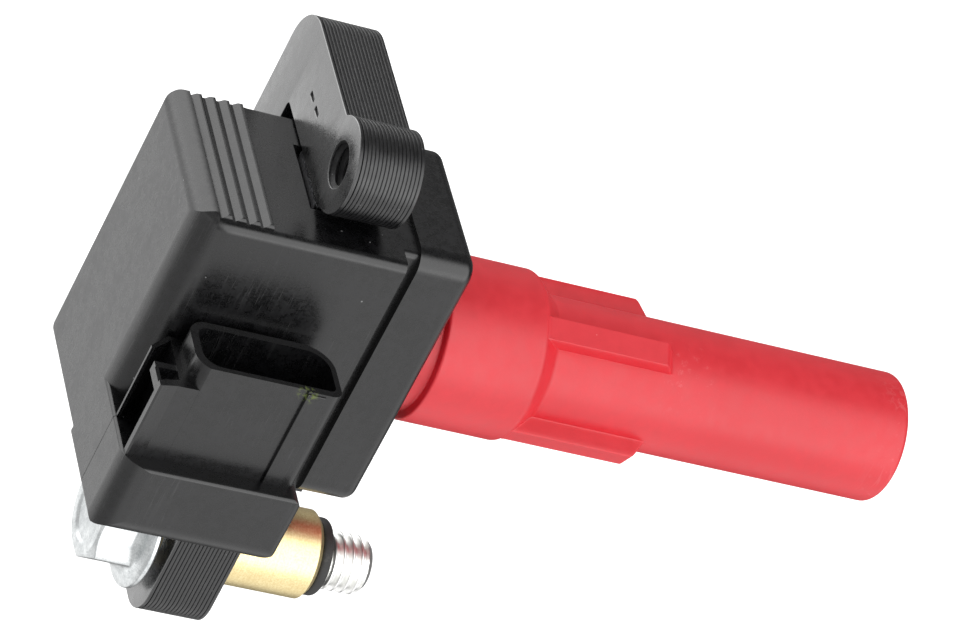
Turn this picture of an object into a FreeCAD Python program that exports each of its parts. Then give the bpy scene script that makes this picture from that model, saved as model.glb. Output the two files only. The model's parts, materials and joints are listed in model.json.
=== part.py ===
import FreeCAD, Part
import os, math
from FreeCAD import Vector as V

os.makedirs("parts", exist_ok=True)

# Pencil / coil-on-plug ignition coil with an outside laminated core.
# Frame: origin at the centre of the boot's open end, +Z up through the boot to
# the coil case, +X towards the ribbed side of the case, -Y towards the connector.
# All lengths in millimetres.

# ---------------------------------------------------------------- dimensions
# case
CX0, CX1 = -20.0, 19.4           # case, X
CY0, CY1 = -13.8, 12.0           # case, Y
CZ_TOP = 107.3                   # top face
CZ_BODY = 79.6                   # lower edge of the upper shell
WALL = 1.5
BASE_TOP, BASE_BOT = 77.5, 69.9  # base plate; the groove above it is on the connector's side
BASE_Y0, BASE_Y1, BASE_X1 = -12.1, 12.8, 20.1
STEP_IN = 1.2                    # depth of the groove between shell and base
# ribs on the +X face
RIB_N, RIB_PITCH, RIB_H = 4, 1.85, 0.55
RIB_Z0 = 104.35
RIB_Y0 = -12.5
BEAD_Z0 = 104.75                 # lower side of the rounded bead above the ribs
TOP_R, BEAD_R, EDGE_R = 4.4, 2.6, 1.2
# shoulder of the case that carries the connector block
SH_X0, SH_X1 = -20.9, -9.6
SH_Y0, SEAM_Y = -13.8, -17.0
SH_Z0 = 83.4
SEAM_GAP = 0.10
# connector
BLK_Y0 = -26.3                   # outer face of the connector block
SK_X0, SK_X1 = -9.6, 5.4         # socket shell, mouth at SK_X1
SK_Y0, SK_Y1 = -24.0, -14.75     # socket shell
SK_Z0, SK_Z1 = 84.2, 103.4
CAV_Y0, CAV_Y1 = -22.95, -15.85  # socket cavity
CAV_Z0, CAV_Z1 = 84.9, 102.35
CAV_X0 = -7.5                    # socket floor
LT_X1 = 1.85                     # latch channel on the socket's upper side, open towards +Z
LT_Y0, LT_Y1 = -23.7, -14.4      # its floor plate
LT_Z0, LT_Z1, LT_TOP = 102.2, 104.2, 107.0
# core
KZ0, KZ1 = 81.9, 90.6            # stack of 0.5 mm laminations
LIMB_Y0, LIMB_Y1 = 15.2, 23.3   # limb behind the case
XL_X0, XL_X1 = 19.6, 30.6        # limb on the ribbed side
NL_X0, NL_X1 = -32.0, -21.0      # limb on the bolt side
EAR_X0, EAR_Y0, EAR_Y1 = -43.3, -14.8, 4.0
BOSS_X, BOSS_Y, BOSS_R = 26.3, -5.8, 6.2
M6_MINOR_R = 2.5
LEG_W = 10.4                     # centre leg, across Y
LEG_X0, LEG_X1 = -19.7, 19.5
MAG_T = 1.0
# mounting bolt, collar, O-ring
BX, BY = -33.8, -5.75
COL_R, COL_RI, COL_Z0 = 5.85, 4.2, 68.8
COL_R2, COL_Z1 = 5.6, 81.4         # collar where it is pressed into the core, and where that starts
BOLT_R, NECK_R, THR_Z1 = 3.95, 3.6, 66.95   # thread crest, neck, upper end of the thread
FL_R, FL_Z0, FL_T = 8.75, 91.9, 1.5
HEX_AF, HEX_Z1 = 12.0, 99.2
TIP_Z = 60.9
OR_RI, OR_RO, OR_T = 3.70, 5.12, 1.5
# boot
BT_R = 8.6                       # slim tube
BT_R2 = 11.15                    # wide upper part
BT_SH0, BT_SH1 = 51.5, 54.05     # 45 degree shoulder
BT_RIM = 67.7
LIP_R, LIP_Z = 9.9, 69.6
SOCK_R, SOCK_L = 5.2, 22.0       # bore that grips the plug insulator
MID_R = 4.7
SPR_TOP = 53.0
TW_BORE_R = 7.3                  # bore over the tower
FIN_W, FIN_R, FIN_Z0, FIN_Z1 = 3.2, 10.9, 34.9, 36.8
FIN_ANG = (-30.0, 60.0, 150.0, 240.0)
# tower of the base
TW_R, TW_Z0, TW_RI = 7.2, 53.4, 3.35
# contact and spring
CT_R, CT_Z0, CT_Z1 = 4.4, 24.1, 31.0
SPR_R, SPR_W, SPR_N = 3.0, 0.8, 12
# windings, rounded rectangles round the centre leg
KZM = (KZ0 + KZ1) / 2.0
PIN_Z = (88.5, 93.7, 98.9)
PIN_BEND = (-16.8, -15.2, -13.6)
PIN_Y, PIN_T, PIN_W = -19.4, 0.64, 1.5
PIN_TIP = 0.6
PIN_IN_Y = -10.3

nodes = {}


def box(x0, x1, y0, y1, z0, z1):
    return Part.makeBox(x1 - x0, y1 - y0, z1 - z0, V(x0, y0, z0))


def cyl(r, z0, z1, x=0.0, y=0.0):
    return Part.makeCylinder(r, z1 - z0, V(x, y, z0), V(0, 0, 1))


def cone(r0, r1, z0, z1, x=0.0, y=0.0):
    return Part.makeCone(r0, r1, z1 - z0, V(x, y, z0), V(0, 0, 1))


def edges_where(shape, test):
    out = []
    for e in shape.Edges:
        if len(e.Vertexes) == 2:
            a, b = e.Vertexes[0].Point, e.Vertexes[1].Point
            if test(a, b):
                out.append(e)
    return out


def fillet(shape, r, test, name=""):
    es = edges_where(shape, test)
    if not es:
        print("no edge for fillet", name)
        return shape
    try:
        s = shape.makeFillet(r, es)
        if s.isValid() and s.Volume > 0:
            return s
        print("fillet not valid", name)
    except Exception as ex:
        print("fillet failed", name, ex)
    return shape


def same(a, b, t=1e-4):
    return abs(a - b) < t


def rrect_yz(cy, cz, w, h, r, x0, x1):
    """Prism along X with a rounded rectangle section, w across Y, h across Z."""
    b = box(x0, x1, cy - w / 2, cy + w / 2, cz - h / 2, cz + h / 2)
    if r <= 0:
        return b
    es = edges_where(b, lambda p, q: same(p.y, q.y) and same(p.z, q.z))
    return b.makeFillet(r, es)


def polygon_prism(pts, z0, z1):
    """Prism along Z. Each point is (x, y) or (x, y, r) with a corner radius."""
    n = len(pts)
    ent = []
    for i in range(n):
        p = pts[i]
        x, y = p[0], p[1]
        r = p[2] if len(p) > 2 else 0.0
        a = V(*pts[i - 1][:2], 0)
        c = V(*pts[(i + 1) % n][:2], 0)
        b = V(x, y, 0)
        if r <= 0:
            ent.append((b, b, None))
            continue
        u = (a - b).normalize()
        w = (c - b).normalize()
        ang = math.acos(max(-1.0, min(1.0, u.dot(w))))
        t = r / math.tan(ang / 2.0)
        p0 = b + u * t
        p1 = b + w * t
        bis = (u + w).normalize()
        ctr = b + bis * (r / math.sin(ang / 2.0))
        mid = ctr - bis * r
        ent.append((p0, p1, mid))
    es = []
    for i in range(n):
        p0, p1, mid = ent[i]
        q0 = ent[(i + 1) % n][0]
        if mid is not None:
            es.append(Part.Arc(p0, mid, p1).toShape())
        if (q0 - p1).Length > 1e-6:
            es.append(Part.makeLine(p1, q0))
    w = Part.Wire(es)
    f = Part.Face(w)
    s = f.extrude(V(0, 0, z1 - z0))
    s.translate(V(0, 0, z0))
    return s


def rounded_along_x(pts, x0, x1):
    """Prism along X. Each point is (y, z) or (y, z, r)."""
    s = polygon_prism(pts, x0, x1)
    s.rotate(V(0, 0, 0), V(1, 1, 1), 120)
    return s


def rounded_along_y(pts, y0, y1):
    """Prism along Y. Each point is (z, x) or (z, x, r)."""
    s = polygon_prism(pts, y0, y1)
    s.rotate(V(0, 0, 0), V(1, 1, 1), 240)
    return s


def profile_y(pts, y0, y1):
    """Prism along Y from a polygon of (x, z) points."""
    vs = [V(x, y0, z) for x, z in pts]
    w = Part.makePolygon(vs + [vs[0]])
    return Part.Face(w).extrude(V(0, y1 - y0, 0))


def profile_x(pts, x0, x1):
    vs = [V(x0, y, z) for y, z in pts]
    w = Part.makePolygon(vs + [vs[0]])
    return Part.Face(w).extrude(V(x1 - x0, 0, 0))


def revolve(pts, x=0.0, y=0.0):
    """Solid of revolution about the vertical line through (x, y); (r, z) points."""
    vs = [V(x + r, y, z) for r, z in pts]
    w = Part.makePolygon(vs + [vs[0]])
    return Part.Face(w).revolve(V(x, y, 0), V(0, 0, 1), 360)


def one(shape, name):
    s = shape.removeSplitter() if hasattr(shape, "removeSplitter") else shape
    sol = s.Solids
    if len(sol) == 1:
        s = sol[0]
    nodes[name] = s
    return s


# ---------------------------------------------------------------- windings
def leg_box(w, h, r, x0, x1):
    return rrect_yz(0.0, KZM, w, h, r, x0, x1)


LEG_H = KZ1 - KZ0
leg = box(LEG_X0, LEG_X1, -LEG_W / 2, LEG_W / 2, KZ0, KZ1)
PB_I = (LEG_W + 0.3, LEG_H + 0.3)           # primary bobbin, inside
PB_O = (PB_I[0] + 1.6, PB_I[1] + 1.6)       # primary bobbin, outside of the tube
PW_O = (PB_O[0] + 2.4, PB_O[1] + 2.4)       # primary winding, outside
SB_I = (PW_O[0] + 0.3, PW_O[1] + 0.3)
SB_O = (SB_I[0] + 1.4, SB_I[1] + 1.4)
SW_O = (SB_O[0] + 2.8, SB_O[1] + 2.8)
SF_O = (SW_O[0] + 0.5, SW_O[1] + 0.5)       # secondary bobbin flanges
PBX0, PBX1 = -13.2, 16.6
SBX0, SBX1 = -10.9, 15.4

pb = leg_box(PB_O[0], PB_O[1], 0.8, PBX0, PBX1)
pb = pb.fuse(leg_box(PW_O[0], PW_O[1], 1.6, PBX0, PBX0 + 0.9))
pb = pb.fuse(leg_box(PW_O[0], PW_O[1], 1.6, PBX1 - 0.9, PBX1))
pb = pb.cut(leg_box(PB_I[0], PB_I[1], 0, PBX0 - 1, PBX1 + 1))
one(pb, "primary_bobbin")
pw = leg_box(PW_O[0], PW_O[1], 1.6, PBX0 + 0.9, PBX1 - 0.9).cut(
    leg_box(PB_O[0], PB_O[1], 0.8, PBX0, PBX1))
one(pw, "primary_winding")

SEC_N = 5
RIB_T = 0.6
span = (SBX1 - SBX0 - RIB_T * (SEC_N + 1)) / SEC_N
sb = leg_box(SB_O[0], SB_O[1], 1.9, SBX0, SBX1)
sec = []
for i in range(SEC_N + 1):
    x = SBX0 + i * (span + RIB_T)
    sb = sb.fuse(leg_box(SF_O[0], SF_O[1], 3.2, x, x + RIB_T))
    if i < SEC_N:
        s = leg_box(SW_O[0], SW_O[1], 3.0, x + RIB_T, x + RIB_T + span).cut(
            leg_box(SB_O[0], SB_O[1], 1.9, SBX0, SBX1))
        sec.append(s.Solids[0])
sb = sb.cut(leg_box(SB_I[0], SB_I[1], 1.7, SBX0 - 1, SBX1 + 1))
one(sb, "secondary_bobbin")
nodes["secondary_winding"] = Part.makeCompound(sec)

one(leg, "core_centre_leg")
one(box(LEG_X0 - MAG_T, LEG_X0, -LEG_W / 2, LEG_W / 2, KZ0, KZ1), "bias_magnet")

# ---------------------------------------------------------------- core yoke
ring = polygon_prism([
    (NL_X0, LIMB_Y1, 5.0), (XL_X1, LIMB_Y1, 6.5), (XL_X1, BOSS_Y), (XL_X0, BOSS_Y),
    (XL_X0, LIMB_Y0, 0.6), (NL_X1, LIMB_Y0, 0.6), (NL_X1, EAR_Y0, 1.0),
    (EAR_X0, EAR_Y0, 5.2), (EAR_X0, EAR_Y1, 5.5), (NL_X0, EAR_Y1 + 2.4, 2.0)], KZ0, KZ1)
yoke = ring.fuse(cyl(BOSS_R, KZ0, KZ1, BOSS_X, BOSS_Y))
yoke = yoke.cut(cyl(M6_MINOR_R, KZ0 - 1, KZ1 + 1, BOSS_X, BOSS_Y))
yoke = yoke.cut(cyl(COL_R2, KZ0 - 1, KZ1 + 1, BX, BY))
# interlock dimples pressed into the top lamination
for dx, dy in ((24.75, 9.5), (24.75, 6.5), (-26.4, 9.5), (-26.4, 12.5), (0.0, 19.4), (3.0, 19.4)):
    yoke = yoke.cut(box(dx - 0.35, dx + 0.35, dy - 0.9, dy + 0.9, KZ1 - 0.25, KZ1 + 1))
one(yoke, "core_yoke")

# ---------------------------------------------------------------- case
def round_off(x, r, side):
    """What is cut away to round the top edge that runs along Y at x."""
    xc = x - side * r
    b = box(min(xc, x + side * 2), max(xc, x + side * 2), CY0 - 2, CY1 + 2, CZ_TOP - r, CZ_TOP + 2)
    return b.cut(Part.makeCylinder(r, CY1 - CY0 + 6, V(xc, CY0 - 3, CZ_TOP - r), V(0, 1, 0)))


def rounded_box(x1):
    """Outer block of the case with its +X face at x1 and all its top edges rounded."""
    c = box(CX0, x1, CY0, CY1, CZ_BODY, CZ_TOP)
    es = edges_where(c, lambda p, q: same(p.z, CZ_TOP) and same(q.z, CZ_TOP) and same(p.y, CY0) and same(q.y, CY0))
    c = c.makeFillet(TOP_R, es)
    c = fillet(c, EDGE_R, lambda p, q: same(p.x, x1) and same(q.x, x1) and same(p.y, CY0) and same(q.y, CY0), "vertical +X -Y")
    c = fillet(c, 1.0, lambda p, q: same(p.x, CX0) and same(q.x, CX0) and same(p.y, CY1) and same(q.y, CY1), "vertical -X +Y")
    c = fillet(c, 0.5, lambda p, q: same(p.z, CZ_TOP) and same(q.z, CZ_TOP) and same(p.y, CY1, 1.1) and same(q.y, CY1, 1.1), "top +Y")
    c = c.cut(round_off(x1, BEAD_R, 1)).cut(round_off(CX0, 0.5, -1))
    return c


case = rounded_box(CX1)
bead = rounded_box(CX1 + RIB_H).common(box(CX1 - 3.5, CX1 + 2, CY0 - 1, CY1 + 1, BEAD_Z0, CZ_TOP + 1))
case = case.fuse(bead)
# saw-tooth finger ribs on the +X face, below the bead
z = RIB_Z0
prof = [(CX1 - 1.0, z), (CX1, z)]
for i in range(RIB_N):
    prof += [(CX1 + RIB_H * 0.80, z - 0.62), (CX1 + RIB_H * 0.96, z - 0.78), (CX1 + RIB_H, z - 0.95), (CX1 + RIB_H * 0.95, z - 1.12),
             (CX1 + RIB_H * 0.78, z - 1.24), (CX1, z - 1.45), (CX1, z - RIB_PITCH)]
    z -= RIB_PITCH
prof += [(CX1 - 1.0, z)]
ribs = profile_y(prof, RIB_Y0, CY1 - 0.3)
tips = polygon_prism([(CX1 - 1.5, RIB_Y0), (CX1 + RIB_H + 0.02, RIB_Y0, 0.5), (CX1 + RIB_H + 0.02, CY1 - 0.3, 0.3), (CX1 - 1.5, CY1 - 0.3)], z - 1, RIB_Z0 + 1)
case = case.fuse(ribs.common(tips))
# shoulder that carries the connector block
BLK_XZ = [(SH_Z0, SH_X0, 3.4), (CZ_TOP, SH_X0, 0.6), (CZ_TOP, SH_X1, 0.4), (SH_Z0, SH_X1, 1.7)]
shb = rounded_along_y(BLK_XZ, SEAM_Y, CY0 + 6.0)
case = case.fuse(shb)
case = case.removeSplitter()
# potting cavity, open at the bottom
cav = fillet(box(CX0 + WALL, CX1 - WALL, CY0 + WALL, CY1 - WALL, CZ_BODY - 1, CZ_TOP - WALL), TOP_R - WALL,
             lambda p, q: same(p.z, CZ_TOP - WALL) and same(q.z, CZ_TOP - WALL) and same(p.y, CY0 + WALL) and same(q.y, CY0 + WALL), "cavity top")
case = case.cut(cav)
# ledge that closes the case above the groove
LEDGE = box(CX0 + WALL, CX1 - WALL, CY0 + WALL, BASE_Y0 + 1.9, CZ_BODY, CZ_BODY + 1.0)
case = case.fuse(LEDGE)
# openings for the centre leg; the slot on the ribbed side is taller than the core
case = case.cut(box(CX1 - WALL - 0.5, CX1 + 2, -LEG_W / 2 - 0.2, LEG_W / 2 + 0.2, KZ0 - 0.2, KZ1 + 0.15))
case = case.cut(box(CX1 - 1.0, CX1 + 2, -6.3, 6.3, KZ0 - 0.4, 91.5))
case = case.cut(box(CX0 - 1, CX0 + WALL + 0.5, -LEG_W / 2 - 0.2, LEG_W / 2 + 0.2, KZ0 - 0.2, KZ1 + 0.2))
# window for the connector spigot
SP_X0, SP_X1, SP_Z0, SP_Z1 = -18.2, -11.9, 86.6, 100.8
case = case.cut(box(SP_X0, SP_X1, SEAM_Y - 1, CY0 + WALL + 0.5, SP_Z0, SP_Z1))
one(case, "coil_case")

# ---------------------------------------------------------------- case base with tower
base = box(CX0, BASE_X1, BASE_Y0, BASE_Y1, BASE_BOT, BASE_TOP)
base = fillet(base, 2.6, lambda p, q: same(p.x, q.x) and same(p.y, q.y), "base vertical")
base = fillet(base, 1.5, lambda p, q: same(p.z, BASE_BOT) and same(q.z, BASE_BOT), "base lower rim")
# the rim above the plate closes the groove on the other three sides
base = base.fuse(polygon_prism([(CX0, BASE_Y0 + 1.2), (CX1, BASE_Y0 + 1.2, 0.8), (CX1, CY1, 0.8), (CX0, CY1, 0.8)],
                               BASE_TOP - 1.0, CZ_BODY))
base = base.cut(box(CX0 + 2.0, CX1 - 2.0, BASE_Y0 + 1.9, CY1 - 1.7, BASE_BOT + 1.6, CZ_BODY + 1))
tower = revolve([(0, TW_Z0), (TW_R - 0.8, TW_Z0), (TW_R, TW_Z0 + 1.4), (TW_R, BASE_BOT + 2.0), (0, BASE_BOT + 2.0)])
base = base.fuse(tower)
base = base.cut(cyl(TW_RI, TW_Z0 - 1, BASE_BOT + 3))
one(base, "case_base")

# ---------------------------------------------------------------- connector
SEAM_Y1 = SEAM_Y - SEAM_GAP
blk = rounded_along_y(BLK_XZ, BLK_Y0, SEAM_Y1)
blk = blk.common(rounded_along_x([(BLK_Y0, SH_Z0, 0.9), (SEAM_Y1, SH_Z0), (SEAM_Y1, CZ_TOP), (BLK_Y0, CZ_TOP, 3.6)], SH_X0, SH_X1))
blk = blk.common(polygon_prism([(SH_X0, BLK_Y0, 3.0), (SH_X1, BLK_Y0, 0.45), (SH_X1, SEAM_Y1), (SH_X0, SEAM_Y1)], SH_Z0, CZ_TOP))
shell = box(SK_X0 - 1.0, SK_X1, SK_Y0, SK_Y1, SK_Z0, SK_Z1)


def corner(shape, r, y, z, nm):
    return fillet(shape, r, lambda p, q: same(p.y, y) and same(q.y, y) and same(p.z, z) and same(q.z, z), nm)


shell = corner(shell, 4.0, SK_Y1, SK_Z0, "shell far lower")
shell = corner(shell, 2.6, SK_Y1, SK_Z1, "shell far upper")
shell = corner(shell, 1.4, SK_Y0, SK_Z0, "shell near lower")
shell = corner(shell, 3.0, SK_Y0, SK_Z1, "shell near upper")
# recessed front panel, with a raised strip at its lower side
shell = shell.cut(box(SK_X0 - 2, SK_X1 + 1, SK_Y0 - 1, SK_Y0 + 0.30, 88.8, SK_Z1 + 1))
hole = box(CAV_X0, SK_X1 + 1, CAV_Y0, CAV_Y1, CAV_Z0, CAV_Z1)
hole = corner(hole, 3.0, CAV_Y1, CAV_Z0, "cavity far lower")
hole = corner(hole, 1.6, CAV_Y1, CAV_Z1, "cavity far upper")
hole = corner(hole, 0.8, CAV_Y0, CAV_Z0, "cavity near lower")
hole = corner(hole, 2.4, CAV_Y0, CAV_Z1, "cavity near upper")
# latch channel: a floor plate, a far fin that leans inwards, a near rail and a lock nib between them
LT_X0 = SK_X0 - 1.0
plate = box(LT_X0, LT_X1, LT_Y0, LT_Y1, LT_Z0, LT_Z1)
fin = profile_x([(LT_Y1, LT_Z0 + 0.8), (LT_Y1, LT_Z1 + 0.25), (LT_Y1 - 2.4, LT_TOP), (LT_Y1 - 2.8, LT_TOP), (LT_Y1 - 2.8, LT_TOP - 0.45),
                 (LT_Y1 - 0.6, LT_Z1 - 0.1), (LT_Y1 - 0.6, LT_Z0 + 0.8)], LT_X0, LT_X1)
rail = profile_x([(LT_Y0, LT_Z0 - 0.45), (LT_Y0 - 0.05, LT_Z1 + 0.4), (LT_Y0 - 0.3, LT_TOP - 1.2), (LT_Y0 - 0.55, LT_TOP - 0.3),
                  (LT_Y0 - 0.5, LT_TOP), (LT_Y0 + 0.4, LT_TOP), (LT_Y0 + 0.8, LT_TOP - 1.1), (LT_Y0 + 1.2, LT_Z1),
                  (LT_Y0 + 1.2, LT_Z0 - 0.45)], LT_X0, LT_X1)
lug = box(LT_X1 - 1.65, LT_X1 - 0.15, -20.6, -19.6, LT_Z1 - 0.2, LT_TOP)
bridge = box(LT_X1 - 1.65, LT_X1 - 0.35, LT_Y0 + 0.3, -19.6, LT_TOP - 0.5, LT_TOP)
strip = box(SK_X0 - 0.5, SK_X1 - 0.35, SK_Y0 - 0.2, SK_Y0 + 0.5, 86.4, 88.8)
strip = fillet(strip, 0.12, lambda p, q: same(p.y, SK_Y0 - 0.2) and same(q.y, SK_Y0 - 0.2), "strip")
spig = box(SP_X0 + 0.02, SP_X1 - 0.02, SEAM_Y - SEAM_GAP - 1.0, CY0 + 0.6, SP_Z0 + 0.02, SP_Z1 - 0.02)
hous = blk.fuse([shell, plate, fin, rail, lug, bridge, strip, spig])
hous = hous.cut(hole)
# keep the parts of the socket shell off the case wall and its shoulder
hous = hous.cut(box(SH_X0 - 1, SH_X1 + 0.02, SEAM_Y - SEAM_GAP, SH_Y0 + 0.02, SH_Z0 - 1, CZ_TOP + 1).cut(spig))

pins = []
for zc, xb in zip(PIN_Z, PIN_BEND):
    a = box(xb - PIN_W / 2, PIN_TIP, PIN_Y - PIN_T / 2, PIN_Y + PIN_T / 2, zc - PIN_W / 2, zc + PIN_W / 2)
    tip = edges_where(a, lambda p, q: same(p.x, PIN_TIP) and same(q.x, PIN_TIP))
    a = a.makeChamfer(0.2, tip)
    b = box(xb - PIN_W / 2, xb + PIN_W / 2, PIN_Y - PIN_T / 2, PIN_IN_Y, zc - PIN_T / 2, zc + PIN_T / 2)
    pins.append(a.fuse(b).removeSplitter().Solids[0])
allpins = Part.makeCompound(pins)
hous = hous.cut(allpins)
one(hous, "connector_housing")
nodes["connector_pins"] = allpins

# ---------------------------------------------------------------- igniter
IG = (-17.6, -2.0, -9.0, 8.5, 98.8, 103.0)
ig = box(*IG)
ig = fillet(ig, 0.5, lambda p, q: same(p.z, IG[4]) and same(q.z, IG[4]), "igniter")
for zc, xb in zip(PIN_Z, PIN_BEND):
    ig = ig.fuse(box(xb - 0.4, xb + 0.4, PIN_IN_Y, PIN_IN_Y + 0.6, zc - 1.0, 100.6))
    ig = ig.fuse(box(xb - 0.4, xb + 0.4, PIN_IN_Y, IG[2] + 0.5, 100.0, 100.6))
ig = ig.cut(allpins)
one(ig, "igniter_module")
one(box(-17.9, 4.0, -10.0, 9.3, 103.0, 104.4), "igniter_heat_spreader")
# enamelled wire tails from the primary winding up to the igniter
tails = [cyl(0.4, KZM + PW_O[1] / 2, IG[4], -11.75, yy) for yy in (-2.6, 2.6)]
nodes["primary_leads"] = Part.makeCompound(tails)
# high-voltage side
HV_Z0, HV_Z1 = 65.6, 71.0
term = revolve([(0, HV_Z0), (2.6, HV_Z0), (3.3, HV_Z0 + 0.7), (3.3, HV_Z1 - 0.6), (2.9, HV_Z1), (0, HV_Z1)])
one(term, "hv_terminal")
one(cyl(0.45, HV_Z1, KZM - SW_O[1] / 2, 2.25, 0.0), "hv_lead")
res = revolve([(0, 53.3), (2.6, 53.3), (3.1, 53.8), (3.1, 56.2), (2.85, 56.5), (2.85, 62.2), (3.1, 62.5),
               (3.1, 65.1), (2.6, 65.6), (0, 65.6)])
one(res, "suppression_resistor")

# ---------------------------------------------------------------- potting resin
resin = fillet(box(CX0 + WALL, CX1 - WALL, CY0 + WALL, CY1 - WALL, CZ_BODY, CZ_TOP - WALL), TOP_R - WALL,
               lambda p, q: same(p.z, CZ_TOP - WALL) and same(q.z, CZ_TOP - WALL) and same(p.y, CY0 + WALL) and same(q.y, CY0 + WALL), "resin top")
resin = resin.fuse(box(CX0 + 2.0, CX1 - 2.0, BASE_Y0 + 1.9, CY1 - 1.7, BASE_BOT + 1.6, CZ_BODY + 0.5)).cut(LEDGE)
resin = resin.cut(cyl(TW_R, BASE_BOT, BASE_BOT + 2.0)).fuse(cyl(TW_RI, HV_Z1, BASE_BOT + 2.5))
cutters = [nodes[n] for n in ("primary_bobbin", "primary_winding", "secondary_bobbin", "secondary_winding",
                              "core_centre_leg", "igniter_module", "igniter_heat_spreader",
                              "connector_pins", "connector_housing", "primary_leads", "hv_terminal", "hv_lead")]
# the resin does not run between the leg and the bobbins
resin = resin.cut(leg_box(SB_I[0], SB_I[1], 1.7, PBX0, PBX1))
resin = resin.cut(box(CX0, CX1, -LEG_W / 2 - 0.15, LEG_W / 2 + 0.15, KZ0 - 0.15, KZ1 + 0.15))
for c in cutters:
    resin = resin.cut(c)
sol = sorted(resin.Solids, key=lambda s: -s.Volume)
print("resin solids", [round(s.Volume, 2) for s in sol])
nodes["potting_resin"] = sol[0]

# ---------------------------------------------------------------- mounting collar, bolt, O-ring
col = revolve([(COL_RI, COL_Z0 + 0.4), (COL_RI + 0.4, COL_Z0), (COL_R - 0.7, COL_Z0), (COL_R, COL_Z0 + 0.7),
               (COL_R, COL_Z1), (COL_R2, COL_Z1 + 0.25), (COL_R2, KZ1), (COL_RI, KZ1)], BX, BY)
one(col, "mounting_collar")
hexr = HEX_AF / 2 / math.cos(math.pi / 6)
hexa = [(BX + hexr * math.cos(math.radians(a)), BY + hexr * math.sin(math.radians(a))) for a in range(10, 370, 60)]
head = polygon_prism(hexa, FL_Z0 + FL_T, HEX_Z1)
dome = revolve([(0, FL_Z0 + FL_T - 1), (hexr + 0.2, FL_Z0 + FL_T - 1), (hexr + 0.2, HEX_Z1 - 0.75), (HEX_AF / 2 - 0.35, HEX_Z1), (0, HEX_Z1)], BX, BY)
head = head.common(dome)
fl = revolve([(0, FL_Z0), (FL_R - 0.3, FL_Z0), (FL_R, FL_Z0 + 0.3), (FL_R, FL_Z0 + 0.8), (FL_R - 0.5, FL_Z0 + 1.1),
              (hexr - 0.3, FL_Z0 + FL_T + 0.5), (0, FL_Z0 + FL_T + 0.5)], BX, BY)
shank = revolve([(0, TIP_Z), (BOLT_R - 0.9, TIP_Z), (BOLT_R, TIP_Z + 0.9), (BOLT_R, THR_Z1), (NECK_R, THR_Z1 + 0.2),
                 (NECK_R, FL_Z0 + 0.1), (0, FL_Z0 + 0.1)], BX, BY)
bolt = head.fuse([fl, shank])
bolt = bolt.cut(cone(3.6, 4.4, HEX_Z1 - 0.4, HEX_Z1 + 0.1, BX, BY))
one(bolt, "mounting_bolt")
oz0 = COL_Z0 - 0.08 - OR_T
rr = 0.32
orr = revolve([(OR_RI, oz0 + rr), (OR_RI + rr, oz0), (OR_RO - rr, oz0), (OR_RO, oz0 + rr),
               (OR_RO, oz0 + OR_T - rr), (OR_RO - rr, oz0 + OR_T), (OR_RI + rr, oz0 + OR_T), (OR_RI, oz0 + OR_T - rr)], BX, BY)
one(orr, "bolt_o_ring")

# ---------------------------------------------------------------- boot, spring, contact
outer = revolve([(0, 0), (BT_R - 0.9, 0), (BT_R - 0.25, 0.28), (BT_R, 0.95), (BT_R, BT_SH0), (BT_R2, BT_SH1), (BT_R2, BT_RIM - 0.4),
                 (BT_R2 - 0.4, BT_RIM), (LIP_R, BT_RIM), (LIP_R, LIP_Z), (0, LIP_Z)])
for a in FIN_ANG:
    f = profile_y([(0, FIN_Z1), (FIN_R, FIN_Z1), (FIN_R, BT_SH1 - 0.2), (0, BT_SH1 - 0.2)], -FIN_W / 2, FIN_W / 2)
    t = profile_y([(0, FIN_Z0), (BT_R - 0.4, FIN_Z0), (FIN_R, FIN_Z1), (0, FIN_Z1)], -FIN_W / 2, FIN_W / 2)
    f = f.fuse(t)
    f.rotate(V(0, 0, 0), V(0, 0, 1), a)
    outer = outer.fuse(f)
inner = revolve([(0, -1), (SOCK_R + 1.0, -1), (SOCK_R + 1.0, -0.5), (SOCK_R, -0.5), (SOCK_R, SOCK_L), (4.0, SOCK_L), (4.0, CT_Z0 - 0.05),
                 (MID_R, CT_Z0 - 0.05), (MID_R, SPR_TOP), (TW_BORE_R - 0.6, SPR_TOP), (TW_BORE_R, SPR_TOP + 1.2),
                 (TW_BORE_R, LIP_Z + 1), (0, LIP_Z + 1)])
one(outer.cut(inner), "plug_boot")

ct = revolve([(3.25, CT_Z0), (CT_R - 0.3, CT_Z0), (CT_R, CT_Z0 + 0.3), (CT_R, CT_Z1 - 0.4), (CT_R - 0.4, CT_Z1), (2.35, CT_Z1),
              (2.35, CT_Z1 + 1.4), (0, CT_Z1 + 1.4), (0, CT_Z1 - 1.6), (3.25, CT_Z1 - 1.6)])
one(ct, "plug_contact")
z0, z1 = CT_Z1 + 0.05 + SPR_W / 2, SPR_TOP - 0.05 - SPR_W / 2
pitch = (z1 - z0) / SPR_N
helix = Part.makeHelix(pitch, z1 - z0, SPR_R)
helix.translate(V(0, 0, z0))
circ = Part.Wire([Part.makeCircle(SPR_W / 2, V(SPR_R, 0, z0), V(0, 1, pitch / (2 * math.pi * SPR_R)))])
spring = Part.Wire(helix.Edges).makePipeShell([circ], True, True)
L = SPR_N * math.sqrt((2 * math.pi * SPR_R) ** 2 + pitch ** 2)
print("spring volume", round(spring.Volume, 2), "expected", round(L * math.pi * (SPR_W / 2) ** 2, 2), spring.ShapeType, spring.isValid())
nodes["contact_spring"] = spring.Solids[0] if spring.Solids else spring

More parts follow.
